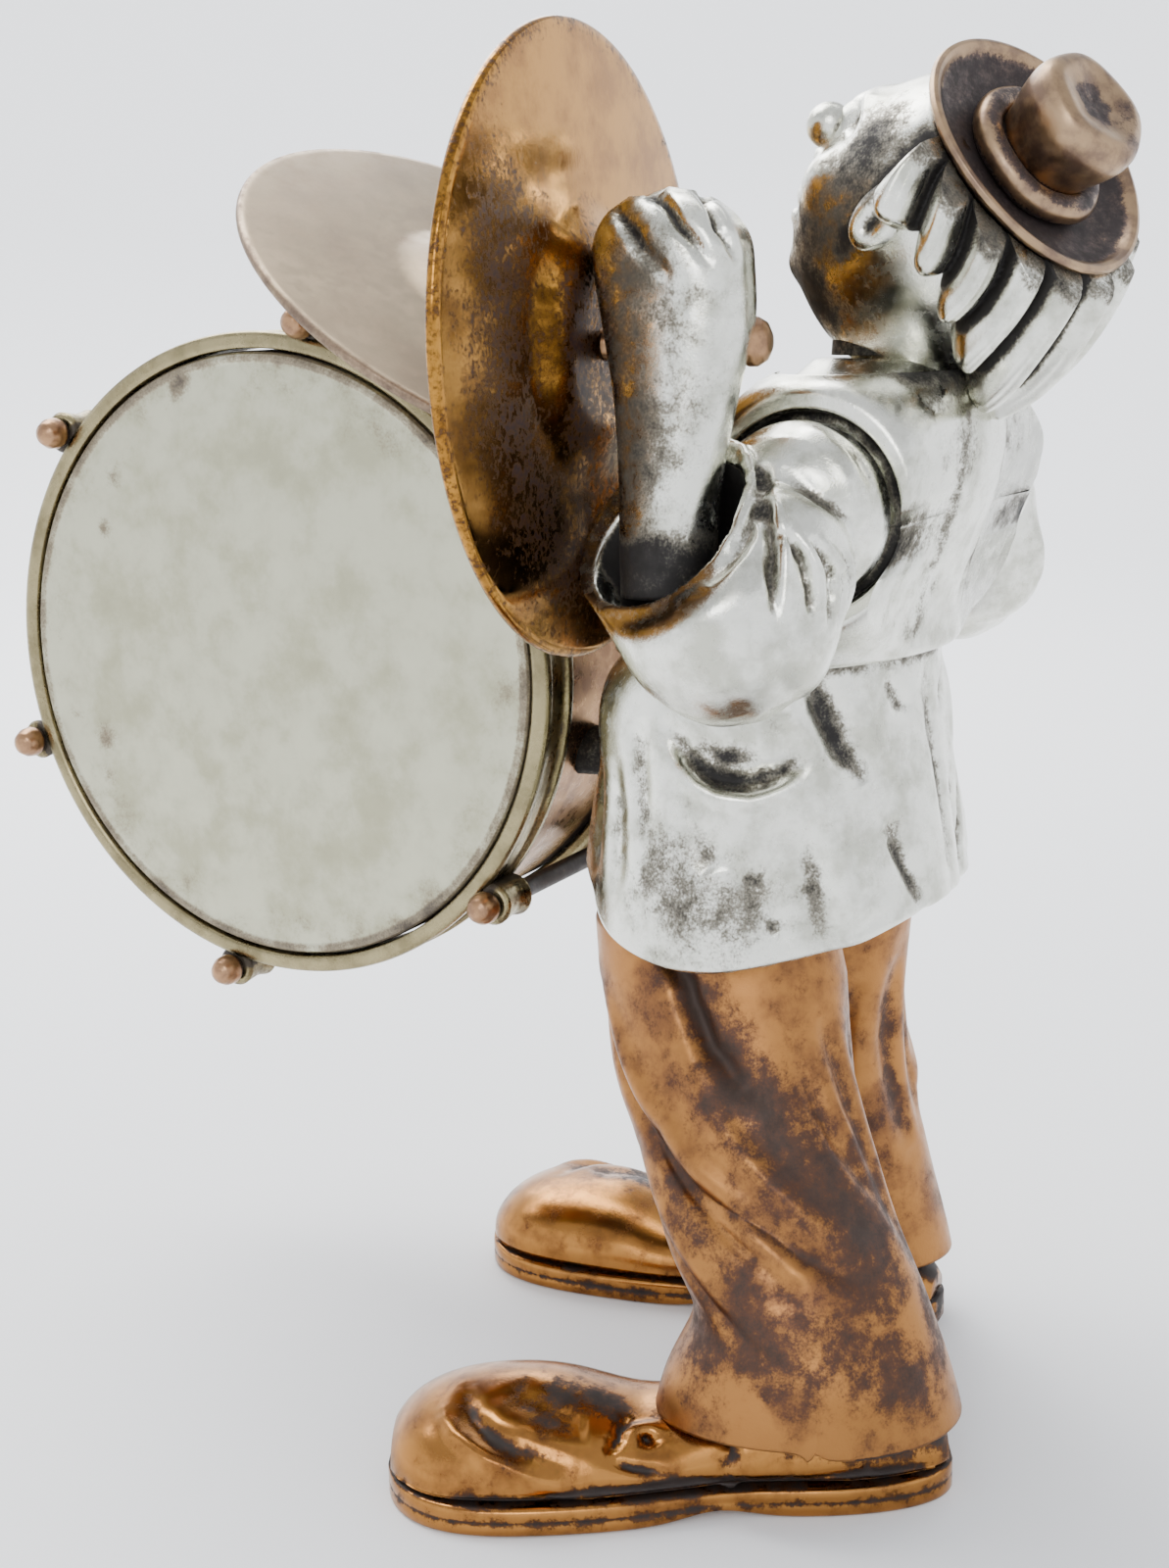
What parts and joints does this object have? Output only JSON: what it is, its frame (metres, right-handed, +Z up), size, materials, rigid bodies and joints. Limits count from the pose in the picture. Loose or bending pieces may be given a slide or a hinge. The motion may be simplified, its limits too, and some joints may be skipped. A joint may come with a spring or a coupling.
{
  "type": "musician figurine",
  "caption": "Standing cast metal clown musician figurine with a bass drum, a top-mounted cymbal, a hand cymbal and a beater on turning arms.",
  "frame": {"origin": "centre of the footprint of the whole figure, on the plane the soles stand on", "axes": "+Z up; -Y the way the figure faces, towards the drum; +X to the figure's left, the side of the hand cymbal"},
  "size_m": [0.0432, 0.0584, 0.0644],
  "materials": {
    "silver": "polished cast silver, blackened in the recesses",
    "copper": "copper plate over the casting, brown in the recesses",
    "bronze": "dark bronze-brown patina over copper plate",
    "gold": "polished gold-bronze plate with dark pits",
    "tan": "tarnished rose-gold plate",
    "skin": "frosted silver, slightly green",
    "hoop": "frosted silver with a yellow cast"
  },
  "bodies": {
    "figure": {"left_sole": "copper", "right_sole": "copper", "left_shoe": "copper", "right_shoe": "copper", "left_trouser_leg": "copper", "right_trouser_leg": "copper", "smock": "silver", "vest": "silver", "neck": "silver", "left_shoulder_pin": "silver", "right_shoulder_pin": "silver", "drum_peg": "silver", "drum_shell": "copper", "drum_head_left": "skin", "drum_head_right": "skin", "drum_hoop_left": "hoop", "drum_hoop_right": "hoop", "tension_rod_1": "copper", "tension_rod_2": "copper", "tension_rod_3": "copper", "tension_rod_4": "copper", "tension_rod_5": "copper", "tension_rod_6": "copper", "cymbal_post": "copper"},
    "left_arm": {"left_sleeve": "silver", "left_hand": "silver", "hand_cymbal_rod": "copper"},
    "hand_cymbal": {"hand_cymbal": "gold"},
    "right_arm": {"right_sleeve": "silver", "right_hand": "silver", "beater_shaft": "copper", "beater_ball": "silver"},
    "head": {"head": "silver", "hair": "silver", "hat_brim": "bronze", "hat_band": "bronze", "hat_crown": "bronze"},
    "drum_cymbal": {"drum_cymbal": "tan", "cymbal_nut": "copper"}
  },
  "joints": [
    {"name": "left_shoulder_hinge", "type": "hinge", "parent": "figure", "child": "left_arm", "pos_m": [0.00534, 0.01846, 0.0443], "axis": [1, 0, 0], "range_deg": [-20, 1]},
    {"name": "hand_cymbal_spin", "type": "hinge", "parent": "left_arm", "child": "hand_cymbal", "pos_m": [0.00854, 0.00966, 0.0513], "axis": [-0.078, 0.9969, 0.01], "continuous": true},
    {"name": "right_shoulder_hinge", "type": "hinge", "parent": "figure", "child": "right_arm", "pos_m": [-0.01226, 0.01846, 0.0443], "axis": [1, 0, 0], "range_deg": [-8, 14]},
    {"name": "head_turn", "type": "hinge", "parent": "figure", "child": "head", "pos_m": [-0.00346, 0.01866, 0.0534], "axis": [0, 0, 1], "range_deg": [-12, 12]},
    {"name": "drum_cymbal_spin", "type": "hinge", "parent": "figure", "child": "drum_cymbal", "pos_m": [-0.00546, -0.00314, 0.05345], "axis": [0.14, 0.5698, 0.8098], "continuous": true}
  ]
}
